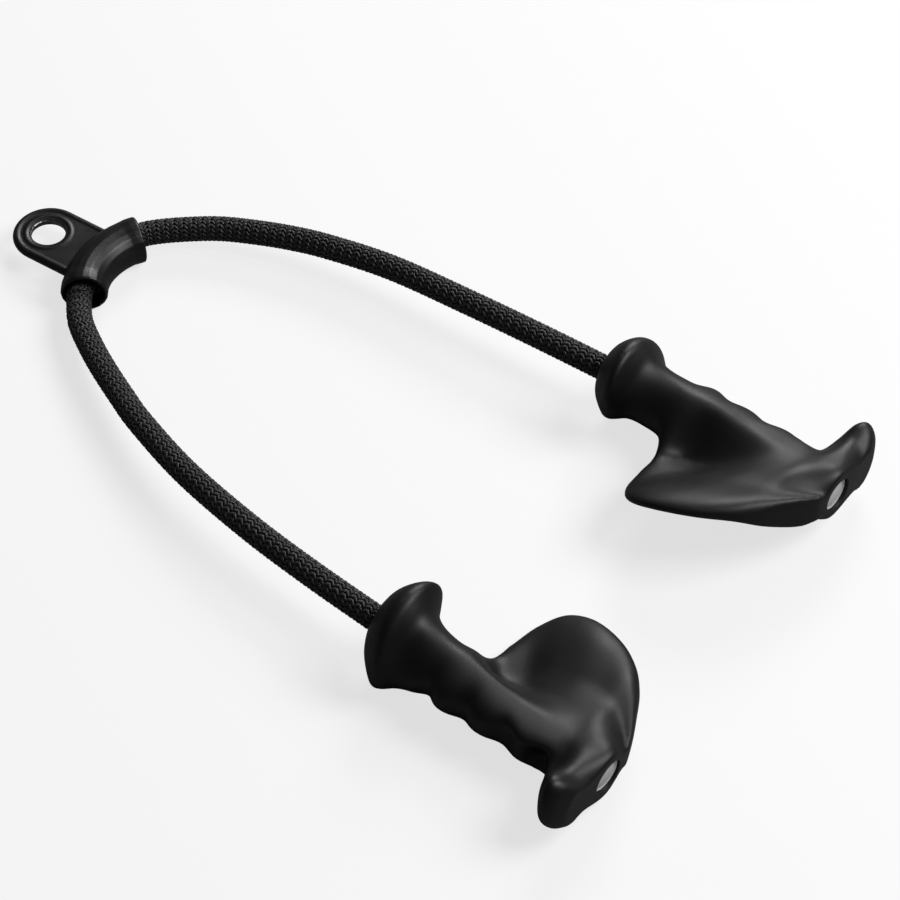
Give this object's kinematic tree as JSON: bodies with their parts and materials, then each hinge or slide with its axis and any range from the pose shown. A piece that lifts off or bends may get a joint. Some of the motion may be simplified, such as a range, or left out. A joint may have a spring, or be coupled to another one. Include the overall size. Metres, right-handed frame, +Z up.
{
  "type": "triceps rope attachment",
  "caption": "Cable machine rope attachment: moulded hub with a lifting eye, one rope through it and a shaped swivelling handle on each end.",
  "frame": {"origin": "on the floor under the middle of the box round the hub and the handles", "axes": "+X from the hub to the handles, +Y to the left handle, +Z up from the floor that the part lies on"},
  "size_m": [0.469, 0.2902, 0.0545],
  "materials": {
    "rubber": "satin",
    "braid": "braided",
    "steel": "plated",
    "nylon": "matt",
    "cap": "satin"
  },
  "bodies": {
    "hub": {"hub_cover": "rubber", "tang_plate": "steel", "eyelet": "steel", "guide_tube": "steel", "rope_middle": "braid"},
    "left_leg": {"rope_left": "braid", "left_ferrule": "steel"},
    "left_handle": {"left_grip": "rubber", "left_core_tube": "nylon", "left_thrust_washer": "steel", "left_end_cap": "cap"},
    "right_leg": {"rope_right": "braid", "right_ferrule": "steel"},
    "right_handle": {"right_grip": "rubber", "right_core_tube": "nylon", "right_thrust_washer": "steel", "right_end_cap": "cap"}
  },
  "joints": [
    {"name": "left_leg_swing", "type": "hinge", "parent": "hub", "child": "left_leg", "pos_m": [-0.17819, 0.02701, 0.0122], "axis": [0, 0, 1], "range_deg": [-3.5, 32]},
    {"name": "left_handle_turn", "type": "hinge", "parent": "left_leg", "child": "left_handle", "pos_m": [0.08135, 0.09586, 0.02522], "axis": [0.9995, 0.0314, -0.0035], "continuous": true},
    {"name": "right_leg_swing", "type": "hinge", "parent": "hub", "child": "right_leg", "pos_m": [-0.1737, -0.0243, 0.0122], "axis": [0, 0, -1], "range_deg": [-3.5, 32]},
    {"name": "right_handle_turn", "type": "hinge", "parent": "right_leg", "child": "right_handle", "pos_m": [0.09235, -0.10164, 0.02465], "axis": [0.9991, -0.0105, -0.0419], "continuous": true}
  ]
}
